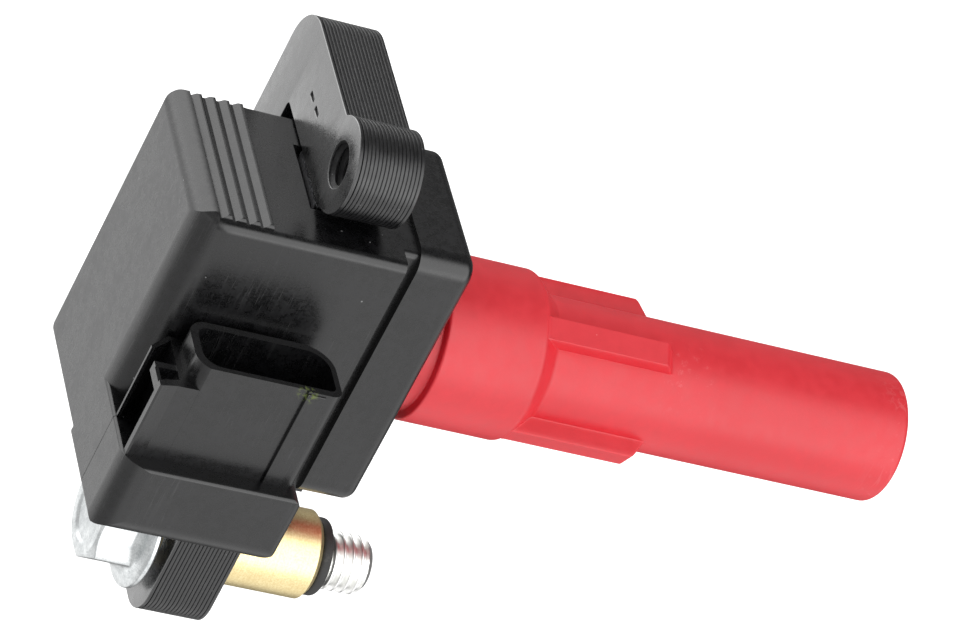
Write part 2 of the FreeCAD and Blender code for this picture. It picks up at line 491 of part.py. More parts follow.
# ---------------------------------------------------------------- export
tot = None
for n, s in nodes.items():
    bb = s.BoundBox
    print("%-24s %s solids %d vol %9.2f valid %s  X %.2f %.2f Y %.2f %.2f Z %.2f %.2f" % (
        n, s.ShapeType, len(s.Solids), s.Volume, s.isValid(), bb.XMin, bb.XMax, bb.YMin, bb.YMax, bb.ZMin, bb.ZMax))
    s.exportStep("parts/%s.step" % n)
print(len(nodes), "nodes")
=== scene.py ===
import json
import math

import bpy
import bmesh
import numpy as np
from mathutils import Matrix, Vector
from mathutils.geometry import tessellate_polygon


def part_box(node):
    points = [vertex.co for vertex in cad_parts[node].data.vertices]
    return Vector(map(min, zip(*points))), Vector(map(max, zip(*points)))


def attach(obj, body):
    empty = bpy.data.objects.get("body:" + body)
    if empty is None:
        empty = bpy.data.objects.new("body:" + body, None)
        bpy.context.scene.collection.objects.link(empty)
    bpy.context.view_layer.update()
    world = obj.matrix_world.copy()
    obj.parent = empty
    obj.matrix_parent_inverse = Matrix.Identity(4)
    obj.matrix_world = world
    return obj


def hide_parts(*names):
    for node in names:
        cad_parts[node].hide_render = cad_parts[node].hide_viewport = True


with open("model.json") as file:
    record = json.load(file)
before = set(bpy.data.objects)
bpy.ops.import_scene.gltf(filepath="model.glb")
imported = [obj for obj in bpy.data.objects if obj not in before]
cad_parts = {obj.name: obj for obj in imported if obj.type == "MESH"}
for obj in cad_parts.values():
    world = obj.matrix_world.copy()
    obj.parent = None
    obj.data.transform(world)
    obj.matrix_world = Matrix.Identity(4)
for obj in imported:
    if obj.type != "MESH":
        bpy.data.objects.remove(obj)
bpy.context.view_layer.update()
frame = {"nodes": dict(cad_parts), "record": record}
NODES = frame["nodes"]
scene = bpy.context.scene
MM = 0.001
RNG = np.random.default_rng(7)


# ------------------------------------------------------------------ node helpers
class Mat:
    """A node material, with short calls for the maths used by every finish."""

    def __init__(self, name):
        self.m = bpy.data.materials.new(name)
        self.m.use_nodes = True
        self.t = self.m.node_tree
        self.t.nodes.clear()
        self.out = self.t.nodes.new("ShaderNodeOutputMaterial")
        self.b = self.t.nodes.new("ShaderNodeBsdfPrincipled")
        self.t.links.new(self.b.outputs[0], self.out.inputs[0])
        self.co = self.t.nodes.new("ShaderNodeTexCoord").outputs["Object"]
        self.geo = None

    def put(self, socket, v):
        if hasattr(v, "is_output") or isinstance(v, bpy.types.NodeSocket):
            self.t.links.new(v, socket)
        elif isinstance(v, (tuple, list)) and len(v) == 3 and socket.type == "RGBA":
            socket.default_value = (*v, 1.0)
        else:
            socket.default_value = v

    def set(self, **kw):
        names = {"color": "Base Color", "rough": "Roughness", "metal": "Metallic", "ior": "IOR", "spec": "Specular IOR Level",
                 "coat": "Coat Weight", "coat_rough": "Coat Roughness", "sheen": "Sheen Weight", "sheen_rough": "Sheen Roughness",
                 "aniso": "Anisotropic", "sss": "Subsurface Weight", "normal": "Normal", "sss_scale": "Subsurface Scale"}
        for k, v in kw.items():
            self.put(self.b.inputs[names[k]], v)
        return self

    def math(self, op, a, b=0.0, c=0.0, clamp=False):
        n = self.t.nodes.new("ShaderNodeMath")
        n.operation = op
        n.use_clamp = clamp
        self.put(n.inputs[0], a)
        self.put(n.inputs[1], b)
        self.put(n.inputs[2], c)
        return n.outputs[0]

    def vec(self, op, a, b=(0, 0, 0), scale=None):
        n = self.t.nodes.new("ShaderNodeVectorMath")
        n.operation = op
        self.put(n.inputs[0], a)
        if op != "SCALE":
            self.put(n.inputs[1], b)
        else:
            self.put(n.inputs[3], scale)
        return n.outputs["Value"] if op in ("DOT_PRODUCT", "LENGTH", "DISTANCE") else n.outputs[0]

    def sep(self, v=None):
        n = self.t.nodes.new("ShaderNodeSeparateXYZ")
        self.put(n.inputs[0], v if v is not None else self.co)
        return n.outputs[0], n.outputs[1], n.outputs[2]

    def comb(self, x, y, z):
        n = self.t.nodes.new("ShaderNodeCombineXYZ")
        for i, v in enumerate((x, y, z)):
            self.put(n.inputs[i], v)
        return n.outputs[0]

    def mapping(self, rot=(0, 0, 0), scale=(1, 1, 1), loc=(0, 0, 0), v=None):
        n = self.t.nodes.new("ShaderNodeMapping")
        self.put(n.inputs[0], v if v is not None else self.co)
        n.inputs["Location"].default_value = loc
        n.inputs["Rotation"].default_value = rot
        n.inputs["Scale"].default_value = scale
        return n.outputs[0]

    def noise(self, scale, detail=3.0, rough=0.55, v=None, dist=0.0):
        n = self.t.nodes.new("ShaderNodeTexNoise")
        self.put(n.inputs["Vector"], v if v is not None else self.co)
        n.inputs["Scale"].default_value = scale
        n.inputs["Detail"].default_value = detail
        n.inputs["Roughness"].default_value = rough
        n.inputs["Distortion"].default_value = dist
        return n.outputs["Fac"] if "Fac" in n.outputs else n.outputs[0]

    def voronoi(self, scale, feature="F1", v=None, rand=1.0):
        n = self.t.nodes.new("ShaderNodeTexVoronoi")
        n.feature = feature
        self.put(n.inputs["Vector"], v if v is not None else self.co)
        n.inputs["Scale"].default_value = scale
        n.inputs["Randomness"].default_value = rand
        return n.outputs["Distance"], n.outputs["Color"] if "Color" in n.outputs else None

    def ramp(self, f, lo, hi, a=0.0, b=1.0, smooth=True):
        n = self.t.nodes.new("ShaderNodeMapRange")
        n.interpolation_type = "SMOOTHSTEP" if smooth else "LINEAR"
        n.clamp = True
        self.put(n.inputs["Value"], f)
        self.put(n.inputs["From Min"], lo)
        self.put(n.inputs["From Max"], hi)
        self.put(n.inputs["To Min"], a)
        self.put(n.inputs["To Max"], b)
        return n.outputs[0]

    def mix(self, f, a, b):
        n = self.t.nodes.new("ShaderNodeMix")
        n.data_type = "RGBA"
        self.put(n.inputs[0], f)
        self.put(n.inputs[6], a)
        self.put(n.inputs[7], b)
        return n.outputs[2]

    def bump(self, h, dist, strength=1.0, normal=None):
        n = self.t.nodes.new("ShaderNodeBump")
        n.inputs["Strength"].default_value = strength
        n.inputs["Distance"].default_value = dist
        self.put(n.inputs["Height"], h)
        if normal is not None:
            self.put(n.inputs["Normal"], normal)
        return n.outputs[0]

    def normal(self):
        if self.geo is None:
            self.geo = self.t.nodes.new("ShaderNodeNewGeometry")
        return self.geo.outputs["Normal"]

    def scratches(self, rot, along, across, width, keep, seed):
        """Thin lines: a narrow band of a stretched noise, broken up by a wide one."""
        v = self.mapping(rot=rot, scale=(along, across, across), loc=(seed, seed * 1.7, seed * 0.3))
        n = self.noise(1.0, 1.0, 0.4, v=v, dist=0.3)
        line = self.ramp(self.math("ABSOLUTE", self.math("SUBTRACT", n, 0.5)), 0.0, width, 1.0, 0.0)
        part = self.noise(90.0, 1.0, 0.5, v=self.mapping(loc=(seed * 3.1, seed, seed * 2.2)))
        return self.math("MULTIPLY", line, self.ramp(part, keep, keep + 0.06))

    def specks(self, scale, size, keep):
        """Small dots in a few of the cells of a Voronoi pattern."""
        d, c = self.voronoi(scale)
        r, g, b = self.sep(c)
        return self.math("MULTIPLY", self.ramp(d, size * 0.6, size, 1.0, 0.0), self.ramp(r, keep, keep + 0.01))


# ------------------------------------------------------------------ finishes
def case_plastic(name="case_plastic", residue=None):
    k = Mat(name)
    big = k.noise(170.0, 4.0, 0.62)
    mott = k.noise(900.0, 3.0, 0.6)
    fine = k.noise(3000.0, 3.0, 0.6)
    s1 = k.scratches((0.2, 0.3, 0.9), 25.0, 2400.0, 0.010, 0.56, 3.0)
    s2 = k.scratches((0.5, -0.2, -0.5), 30.0, 2000.0, 0.010, 0.58, 9.0)
    sc = k.math("MAXIMUM", s1, s2)
    dots = k.specks(620.0, 0.09, 0.965)
    grain = k.math("ADD", k.math("MULTIPLY", big, 0.3), k.math("ADD", k.math("MULTIPLY", mott, 0.4), k.math("MULTIPLY", fine, 0.3)))
    x, y, z = k.sep()
    up = k.ramp(z, 0.1062, 0.1071)                       # the top face is the most handled
    fine_sc = k.math("MAXIMUM", k.scratches((0.0, 0.0, 0.5), 60.0, 3000.0, 0.016, 0.46, 31.0), k.scratches((0.0, 0.0, -0.9), 50.0, 2600.0, 0.016, 0.48, 47.0))
    sc = k.math("MAXIMUM", sc, k.math("MULTIPLY", fine_sc, up))
    col = k.mix(k.ramp(grain, 0.36, 0.66), (0.0018, 0.0018, 0.0020), (0.0048, 0.0048, 0.0054))
    col = k.mix(k.math("MULTIPLY", sc, k.ramp(z, 0.1062, 0.1071, 0.05, 0.16)), col, (0.30, 0.30, 0.305))
    col = k.mix(k.math("MULTIPLY", dots, 0.55), col, (0.40, 0.40, 0.40))
    rough = k.math("ADD", k.ramp(grain, 0.34, 0.68, 0.22, 0.36), k.math("MULTIPLY", sc, 0.12))
    if residue:
        d = k.vec("DISTANCE", k.co, residue[0])
        n = k.noise(1500.0, 4.0, 0.7)
        f = k.math("MULTIPLY", k.ramp(d, residue[1] * 0.35, residue[1], 1.0, 0.0), k.ramp(n, 0.50, 0.60))
        col = k.mix(k.math("MULTIPLY", f, 0.7), col, k.mix(k.noise(4000.0), (0.06, 0.11, 0.02), (0.24, 0.28, 0.06)))
        rough = k.math("ADD", rough, k.math("MULTIPLY", f, 0.4))
    h = k.math("ADD", k.math("MULTIPLY", fine, 0.7), k.math("MULTIPLY", mott, 0.35))
    return k.set(color=col, rough=rough, ior=1.52, normal=k.bump(h, 0.000016, 0.7)).m


def paint():
    k = Mat("painted_laminations")
    fine = k.noise(3400.0, 4.0, 0.65)
    mid = k.noise(620.0, 3.0, 0.6)
    sc = k.math("MAXIMUM", k.scratches((0.3, 0.1, 0.4), 30.0, 2200.0, 0.010, 0.55, 5.0),
                k.scratches((0.0, 0.4, -0.8), 26.0, 1900.0, 0.010, 0.57, 15.0))
    dots = k.specks(1300.0, 0.15, 0.90)
    col = k.mix(k.ramp(fine, 0.36, 0.66), (0.0028, 0.0028, 0.0031), (0.0090, 0.0090, 0.0098))
    col = k.mix(k.math("MULTIPLY", sc, 0.12), col, (0.22, 0.22, 0.22))
    col = k.mix(k.math("MULTIPLY", dots, 0.45), col, (0.26, 0.26, 0.26))
    rough = k.math("ADD", k.ramp(mid, 0.3, 0.7, 0.20, 0.32), k.math("MULTIPLY", fine, 0.10))
    h = k.math("ADD", k.math("MULTIPLY", fine, 0.6), k.math("MULTIPLY", mid, 0.9))
    x, y, z = k.sep()
    top = k.ramp(z, 0.09048, 0.09058)                    # the top sheet is smooth, the cut edges are duller
    rough = k.math("SUBTRACT", k.math("ADD", rough, 0.06), k.math("MULTIPLY", top, 0.10))
    rim = k.math("LESS_THAN", k.vec("LENGTH", k.comb(k.math("SUBTRACT", x, 0.0263), k.math("ADD", y, 0.0058), 0.0)), 0.00312)
    rough = k.math("ADD", rough, k.math("MULTIPLY", rim, 0.35))
    return k.set(color=col, rough=rough, ior=k.math("ADD", 1.58, k.math("MULTIPLY", top, 0.95)), normal=k.bump(h, 0.000036, 0.8)).m


def steel(name, base=(0.42, 0.42, 0.44), rough=0.38, lines=None):
    k = Mat(name)
    fine = k.noise(3000.0, 4.0, 0.6)
    dark = tuple(c * 0.55 for c in base)
    col = k.mix(k.ramp(fine, 0.35, 0.65), dark, base)
    x, y, z = k.sep()
    h = fine
    if lines:
        w = k.math("SINE", k.math("MULTIPLY", z, 2 * math.pi / lines))
        col = k.mix(k.ramp(w, -1.0, -0.8, 0.75, 0.0), col, tuple(c * 0.2 for c in base))
        h = k.math("ADD", k.math("MULTIPLY", fine, 0.3), k.ramp(w, -1.0, -0.8, 0.0, 1.0))
    return k.set(color=col, rough=k.ramp(fine, 0.3, 0.7, rough - 0.08, rough + 0.12), metal=1.0, normal=k.bump(h, 0.00002, 0.6)).m


def zinc():
    k = Mat("zinc_steel")
    fine = k.noise(4200.0, 4.0, 0.7)
    mid = k.noise(700.0, 3.0, 0.6)
    big = k.noise(180.0, 3.0, 0.5)
    f = k.math("ADD", k.math("MULTIPLY", big, 0.25), k.math("ADD", k.math("MULTIPLY", fine, 0.40), k.math("MULTIPLY", mid, 0.35)))
    x, y, z = k.sep()
    head = k.mix(k.ramp(f, 0.36, 0.66), (0.46, 0.48, 0.485), (0.78, 0.80, 0.80))
    thread = k.mix(k.ramp(f, 0.36, 0.66), (0.74, 0.74, 0.72), (0.94, 0.94, 0.92))
    col = k.mix(k.ramp(z, 0.070, 0.085), thread, head)
    pit = k.ramp(k.noise(2200.0, 3.0, 0.6), 0.66, 0.74)
    col = k.mix(k.math("MULTIPLY", pit, 0.40), col, (0.20, 0.20, 0.20))
    h = k.math("ADD", k.math("MULTIPLY", f, 1.0), k.math("MULTIPLY", pit, -0.5))
    return k.set(color=col, rough=k.ramp(f, 0.3, 0.7, 0.38, 0.26), metal=1.0, normal=k.bump(h, 0.000030, 0.7)).m


def brass(name, step=0.00016):
    """Satin turned brass: faint rings round an upright axis under a fine grain."""
    k = Mat(name)
    x, y, z = k.sep()
    rings = k.noise(1.0, 3.0, 0.6, v=k.comb(k.math("MULTIPLY", z, 1.0 / step), k.math("MULTIPLY", x, 40.0), k.math("MULTIPLY", y, 40.0)))
    fine = k.noise(3800.0, 3.0, 0.6)
    stain = k.noise(160.0, 4.0, 0.6)
    f = k.math("ADD", k.math("MULTIPLY", rings, 0.3), k.math("MULTIPLY", fine, 0.7))
    col = k.mix(k.ramp(f, 0.36, 0.64), (0.66, 0.52, 0.26), (0.78, 0.67, 0.38))
    col = k.mix(k.ramp(stain, 0.5, 0.75, 0.0, 0.22), col, (0.62, 0.47, 0.22))
    h = k.math("ADD", k.math("MULTIPLY", rings, 0.35), k.math("MULTIPLY", fine, 0.6))
    return k.set(color=col, rough=k.ramp(f, 0.3, 0.7, 0.34, 0.44), metal=1.0, normal=k.bump(h, 0.000014, 0.7)).m


def silicone():
    k = Mat("red_silicone")
    big = k.noise(55.0, 3.0, 0.5)
    mid = k.noise(600.0, 4.0, 0.6)
    fine = k.noise(4200.0, 3.0, 0.6)
    col = k.mix(k.ramp(k.math("ADD", k.math("MULTIPLY", big, 0.6), k.math("MULTIPLY", mid, 0.4)), 0.35, 0.65),
                (0.60, 0.010, 0.020), (0.67, 0.016, 0.028))
    x, y, z = k.sep()
    # chalky dust: smears beside the fins and round the open end
    smear = k.scratches((0.1, 0.2, 0.3), 60.0, 900.0, 0.05, 0.50, 4.0)
    dust = k.ramp(k.noise(900.0, 5.0, 0.7), 0.56, 0.72)
    near_end = k.ramp(z, 0.0, 0.006, 1.0, 0.0)
    near_fin = k.ramp(k.vec("DISTANCE", k.co, (0.0065, -0.0055, 0.0325)), 0.001, 0.007, 1.0, 0.0)
    near_low = k.ramp(k.vec("DISTANCE", k.co, (-0.006, -0.006, 0.036)), 0.001, 0.006, 1.0, 0.0)
    where = k.math("MAXIMUM", near_end, k.math("MAXIMUM", near_fin, near_low))
    f = k.math("MULTIPLY", where, k.math("MAXIMUM", k.math("MULTIPLY", dust, 0.16), k.math("MULTIPLY", smear, 0.12)))
    f = k.math("ADD", f, k.math("MULTIPLY", k.specks(620.0, 0.07, 0.975), 0.30), clamp=True)
    col = k.mix(f, col, (0.85, 0.42, 0.42))
    rough = k.math("ADD", k.ramp(mid, 0.3, 0.7, 0.40, 0.48), k.math("MULTIPLY", f, 0.3))
    h = k.math("ADD", k.math("MULTIPLY", fine, 0.5), k.math("MULTIPLY", mid, 0.8))
    return k.set(color=col, rough=rough, ior=1.60, sss=0.10, sss_scale=0.0012, normal=k.bump(h, 0.000030, 0.7)).m


def rubber():
    k = Mat("black_rubber")
    fine = k.noise(3600.0, 4.0, 0.6)
    dust = k.ramp(k.noise(900.0, 4.0, 0.7), 0.55, 0.72)
    col = k.mix(k.ramp(fine, 0.35, 0.65), (0.008, 0.008, 0.008), (0.020, 0.020, 0.019))
    col = k.mix(k.math("MULTIPLY", dust, 0.10), col, (0.25, 0.24, 0.22))
    return k.set(color=col, rough=k.ramp(fine, 0.3, 0.7, 0.55, 0.72), ior=1.5, normal=k.bump(fine, 0.00003, 0.8)).m


def plain_plastic(name, lo, hi, r0, r1, ior=1.5, coat=0.0):
    k = Mat(name)
    fine = k.noise(2400.0, 4.0, 0.6)
    big = k.noise(200.0, 3.0, 0.5)
    f = k.math("ADD", k.math("MULTIPLY", fine, 0.5), k.math("MULTIPLY", big, 0.5))
    return k.set(color=k.mix(k.ramp(f, 0.35, 0.65), lo, hi), rough=k.ramp(f, 0.3, 0.7, r0, r1), ior=ior, coat=coat,
                 normal=k.bump(fine, 0.00002, 0.6)).m


def copper():
    """Windings: turns lie beside each other along X."""
    k = Mat("enamelled_copper")
    x, y, z = k.sep()
    w = k.math("SINE", k.math("MULTIPLY", x, 2 * math.pi / 0.0005))
    n = k.noise(900.0, 3.0, 0.6)
    col = k.mix(k.ramp(w, -1.0, 0.2), (0.16, 0.045, 0.015), (0.72, 0.27, 0.10))
    col = k.mix(k.ramp(n, 0.5, 0.7, 0.0, 0.4), col, (0.45, 0.14, 0.04))
    return k.set(color=col, rough=k.ramp(n, 0.3, 0.7, 0.22, 0.34), metal=1.0, normal=k.bump(w, 0.00010, 0.8)).m


MATS = {
    "case_plastic": case_plastic(),
    "painted_laminations": paint(),
    "bare_laminations": steel("bare_laminations", lines=0.0005),
    "magnet": steel("magnet", (0.16, 0.16, 0.17), 0.5),
    "zinc_steel": zinc(),
    "spring_steel": steel("spring_steel", (0.62, 0.62, 0.64), 0.26),
    "pin_metal": steel("pin_metal", (0.82, 0.82, 0.80), 0.22),
    "spreader_aluminium": steel("spreader_aluminium", (0.78, 0.78, 0.79), 0.34),
    "collar_brass": brass("collar_brass"),
    "red_silicone": silicone(),
    "black_rubber": rubber(),
    "bobbin_plastic": plain_plastic("bobbin_plastic", (0.50, 0.46, 0.37), (0.64, 0.60, 0.50), 0.38, 0.5),
    "module_epoxy": plain_plastic("module_epoxy", (0.014, 0.014, 0.016), (0.034, 0.034, 0.038), 0.45, 0.6),
    "resin": plain_plastic("resin", (0.022, 0.017, 0.012), (0.060, 0.046, 0.032), 0.08, 0.18, 1.55),
    "resistor_ceramic": plain_plastic("resistor_ceramic", (0.66, 0.63, 0.56), (0.82, 0.80, 0.74), 0.5, 0.65),
    "enamelled_copper": copper(),
}
SLOT = {s["node"]: s["material_slot"] for s in frame["record"]["subparts"]}
MATS["housing"] = case_plastic("case_plastic_housing", residue=((0.0050, -0.0240, 0.0888), 0.0016))
for node, o in NODES.items():
    o.data.materials.clear()
    o.data.materials.append(MATS["housing"] if node == "connector_housing" else MATS[SLOT[node]])
    for p in o.data.polygons:
        p.use_smooth = True


# ------------------------------------------------------------------ mesh helpers (lengths in mm)
def make(name, verts, faces, material, body, replaces=(), sharp=None):
    me = bpy.data.meshes.new(name)
    me.from_pydata([tuple(float(c) * MM for c in v) for v in verts], [], [tuple(int(i) for i in f) for f in faces])
    bm = bmesh.new()
    bm.from_mesh(me)
    bmesh.ops.remove_doubles(bm, verts=bm.verts, dist=2e-7)
    bmesh.ops.recalc_face_normals(bm, faces=bm.faces)
    bm.to_mesh(me)
    bm.free()
    for p in me.polygons:
        p.use_smooth = True
    me.materials.append(material)
    if sharp:
        me.set_sharp_from_angle(angle=math.radians(sharp))
    o = bpy.data.objects.new(name, me)
    scene.collection.objects.link(o)
    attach(o, body)
    if replaces:
        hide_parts(*replaces)
    return o


def rings_faces(m, n, base=0, wrap=True, loop=False):
    """Quads between m rings of n points. loop joins the last ring to the first."""
    f = []
    for i in range(m if loop else m - 1):
        a, b = base + i * n, base + ((i + 1) % m) * n
        for j in range(n if wrap else n - 1):
            k = (j + 1) % n
            f.append((a + j, a + k, b + k, b + j))
    return f


def polar(cx, cy, th, r, z):
    """Points of one ring: r and z may be numbers or arrays over th."""
    r = np.broadcast_to(r, th.shape)
    z = np.broadcast_to(z, th.shape)
    return np.stack([cx + r * np.cos(th), cy + r * np.sin(th), z], 1)


def smin(a, b, k):
    h = np.clip(0.5 + 0.5 * (b - a) / k, 0, 1)
    return b + (a - b) * h - k * h * (1 - h)


def smax(a, b, k):
    return -smin(-a, -b, k)


def fillet_profile(pts, radii, seg=5, closed=False):
    """Rounds the corners of a polyline of (r, z) points."""
    out = []
    n = len(pts)
    for i, p in enumerate(pts):
        p = np.array(p, float)
        R = radii[i] if i < len(radii) else 0.0
        if R <= 0 or (not closed and i in (0, n - 1)):
            out.append(p)
            continue
        a, c = np.array(pts[i - 1], float), np.array(pts[(i + 1) % n], float)
        u, w = a - p, c - p
        lu, lw = np.linalg.norm(u), np.linalg.norm(w)
        u, w = u / lu, w / lw
        ang = math.acos(max(-1, min(1, float(u @ w))))
        if ang > math.pi - 1e-3:
            out.append(p)
            continue
        t = min(R / math.tan(ang / 2), lu * 0.49, lw * 0.49)
        R = t * math.tan(ang / 2)
        bis = (u + w) / np.linalg.norm(u + w)
        ctr = p + bis * R / math.sin(ang / 2)
        p0, p1 = p + u * t, p + w * t
        a0 = math.atan2(*(p0 - ctr)[::-1])
        a1 = math.atan2(*(p1 - ctr)[::-1])
        d = (a1 - a0 + math.pi) % (2 * math.pi) - math.pi
        for s in range(seg + 1):
            g = a0 + d * s / seg
            out.append(ctr + R * np.array([math.cos(g), math.sin(g)]))
    return out


def densify(prof, step, closed=False):
    out = []
    n = len(prof)
    for i in range(n if closed else n - 1):
        a, b = np.array(prof[i]), np.array(prof[(i + 1) % n])
        m = max(1, int(math.ceil(np.linalg.norm(b - a) / step)))
        out += [a + (b - a) * s / m for s in range(m)]
    if not closed:
        out.append(np.array(prof[-1]))
    return out


def lathe(name, prof, n, cx, cy, material, body, replaces=(), closed=True, wobble=0.0, sharp=None):
    """Solid of revolution from a closed (r, z) profile, or from an open one that starts and ends on the axis."""
    th = np.linspace(0, 2 * math.pi, n, endpoint=False)
    V, F = [], []
    for r, z in prof:
        rr = max(r, 1e-4)
        V.append(polar(cx, cy, th, rr * (1 - wobble * np.abs(np.sin(th * 3 + z))), z))
    V = np.concatenate(V)
    F = rings_faces(len(prof), n, loop=closed)
    if not closed:
        m = len(prof)
        V = np.concatenate([V, [[cx, cy, prof[0][1]], [cx, cy, prof[-1][1]]]])
        a, b = len(V) - 2, len(V) - 1
        F += [(a, (j + 1) % n, j) for j in range(n)]
        F += [(b, (m - 1) * n + j, (m - 1) * n + (j + 1) % n) for j in range(n)]
    return make(name, V, F, material, body, replaces, sharp)


# ------------------------------------------------------------------ dimensions, as the frame has them
def bx(node):
    lo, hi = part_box(node)
    return [c / MM for c in lo], [c / MM for c in hi]


blo, bhi = bx("mounting_bolt")
BX, BY = (blo[0] + bhi[0]) / 2, (blo[1] + bhi[1]) / 2
TIP, HEAD = blo[2], bhi[2]
FLR = (bhi[0] - blo[0]) / 2
clo, chi = bx("mounting_collar")
COLR = (chi[0] - clo[0]) / 2
COL0, COL1 = clo[2], chi[2]
olo, ohi = bx("bolt_o_ring")
ORO = (ohi[0] - olo[0]) / 2
klo, khi = bx("core_yoke")
KZ0, KZ1 = klo[2], khi[2]
tlo, thi = bx("plug_boot")
LIPZ = thi[2]

# ------------------------------------------------------------------ bolt: hex flange head, rolled M8 x 1.25 thread
def bolt():
    n = 192
    th = np.linspace(0, 2 * math.pi, n, endpoint=False)
    P, crest, root, thr1, neck = 1.25, 3.95, 3.27, 66.95, 3.6
    fl0, af = 91.9, 12.0
    rings = []
    for r in (0.35, 1.0, 1.8, 2.6, 2.95):
        rings.append(polar(BX, BY, th, r, TIP + (0.04 if r < 2.9 else 0.0)))
    z = TIP
    zs = np.arange(TIP, thr1 + 0.25, 0.045)
    for z in zs:
        u = ((z - TIP) / P - th / (2 * math.pi)) % 1.0
        tri = np.abs(u - 0.5) * 2.0                      # 1 at a root, 0 at a crest
        h = np.clip((tri - 0.16) / 0.66, 0, 1)
        h = h * h * (3 - 2 * h) * 0.35 + h * 0.65
        r = crest - (crest - root) * h
        cham = 3.02 + (z - TIP) * 1.03
        r = smin(r, np.full_like(r, cham), 0.10)
        top = max(0.0, (z - (thr1 - 0.6)) / 0.8)
        r = np.minimum(r, crest) * (1 - top) + np.minimum(r, neck) * top if top > 0 else r
        rings.append(polar(BX, BY, th, np.minimum(r, crest), z))
    prof = fillet_profile([(neck, thr1 + 0.3), (neck, fl0), (FLR - 0.25, fl0), (FLR, fl0 + 0.28), (FLR, fl0 + 0.75), (FLR - 0.55, fl0 + 1.10),
                           (7.35, fl0 + 1.55)], [0, 0.25, 0.1, 0.2, 0.25, 0.4, 0], 4)
    for r, z in densify(prof, 0.6):
        rings.append(polar(BX, BY, th, r, z))
    d = (np.degrees(th) - 10.0 + 30.0) % 60.0 - 30.0      # corners at 10 + 60 k degrees
    hexr = (af / 2) / np.cos(np.radians(30.0 - np.abs(d)))
    hexr = smin(hexr, np.full_like(hexr, 6.86), 0.12)
    for z in list(np.arange(fl0 + 1.62, HEAD - 0.95, 0.28)) + list(np.arange(HEAD - 0.95, HEAD - 0.05, 0.05)) + [HEAD - 0.03]:
        cone = 5.62 + (HEAD - z) * 1.55
        foot = 7.25 - (z - fl0 - 1.5) * 1.5               # the root fillet of the hex
        r = smin(hexr, np.full_like(hexr, cone), 0.14)
        r = smax(r, np.full_like(r, foot), 0.35)
        rings.append(polar(BX, BY, th, r, z))
    for r, dz in ((5.45, 0.0), (5.1, 0.0), (4.75, 0.0), (4.45, 0.02), (4.25, 0.12), (4.05, 0.26), (3.85, 0.36), (3.6, 0.40), (2.6, 0.41), (1.6, 0.40), (0.6, 0.40)):
        rings.append(polar(BX, BY, th, r, HEAD - dz))
    m = len(rings)
    V = np.concatenate(rings + [np.array([[BX, BY, TIP + 0.04], [BX, BY, HEAD - 0.40]])])
    F = rings_faces(m, n)
    a, b = m * n, m * n + 1
    F += [(a, (j + 1) % n, j) for j in range(n)] + [(b, (m - 1) * n + j, (m - 1) * n + (j + 1) % n) for j in range(n)]
    return make("bolt_hex_flange", V, F, MATS["zinc_steel"], "bolt", ["mounting_bolt"], sharp=50)


bolt()

# ------------------------------------------------------------------ collar and O-ring
prof = [(4.2, COL0 + 0.4), (4.6, COL0), (COLR - 0.7, COL0), (COLR, COL0 + 0.7), (COLR, 81.4), (5.6, 81.65), (5.6, COL1), (4.2, COL1)]
prof = fillet_profile(prof, [0.05, 0.08, 0.12, 0.12, 0.05, 0.05, 0.05, 0.05], 4, closed=True)
lathe("collar_turned", densify(prof, 0.8, closed=True), 144, BX, BY, MATS["collar_brass"], "coil", ["mounting_collar"])
oc, oh = (3.70 + ORO) / 2, (ohi[2] - olo[2]) / 2
oz = (ohi[2] + olo[2]) / 2
oring = []
for i in range(28):
    a = 2 * math.pi * i / 28
    c, s = math.cos(a), math.sin(a)
    e = 0.62                                              # between an ellipse and a rectangle
    oring.append((oc + math.copysign(abs(c) ** e, c) * (ORO - 3.70) / 2, oz + math.copysign(abs(s) ** e, s) * oh))
lathe("o_ring_round", oring, 128, BX, BY, MATS["black_rubber"], "bolt_seal", ["bolt_o_ring"])


